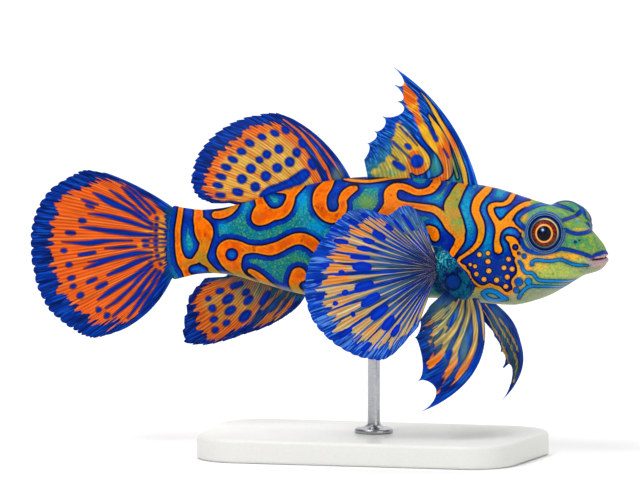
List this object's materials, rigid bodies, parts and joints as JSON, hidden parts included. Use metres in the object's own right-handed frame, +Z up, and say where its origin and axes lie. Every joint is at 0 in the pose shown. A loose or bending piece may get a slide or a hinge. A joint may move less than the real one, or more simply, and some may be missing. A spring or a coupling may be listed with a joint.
{
  "type": "mandarinfish model",
  "caption": "Life-size still model of a swimming mandarinfish with a tall dorsal sail and spread fins, held over a flat base by a short rod.",
  "frame": {"origin": "centre of the underside of the stand's base, on the surface it stands on", "axes": "+X from tail to snout, +Y to the fish's left, +Z up; the head turns gently towards -Y"},
  "size_m": [0.0745, 0.0236, 0.0495],
  "materials": {
    "skin": "smooth scaleless skin, blue and teal with orange bands, moist sheen",
    "eye": "clear gloss over a red-brown iris",
    "orange_fin": "thin rayed membrane, orange with blue spots and a blue margin",
    "blue_fin": "thin rayed membrane, blue, teal and tan",
    "stand_white": "satin white",
    "stand_steel": "satin"
  },
  "bodies": {
    "root": {"head": "skin", "lower_jaw": "skin", "trunk_front": "skin", "trunk_rear": "skin", "tail_stalk": "skin", "pectoral_base_right": "skin", "pectoral_base_left": "skin", "eye_right": "eye", "eye_left": "eye", "first_dorsal_fin": "orange_fin", "second_dorsal_fin": "orange_fin", "anal_fin": "orange_fin", "caudal_fin": "orange_fin", "pectoral_fin_right": "blue_fin", "pectoral_fin_left": "blue_fin", "pelvic_fin_right": "blue_fin", "pelvic_fin_left": "blue_fin", "stand_base": "stand_white", "stand_rod": "stand_steel"}
  },
  "joints": []
}
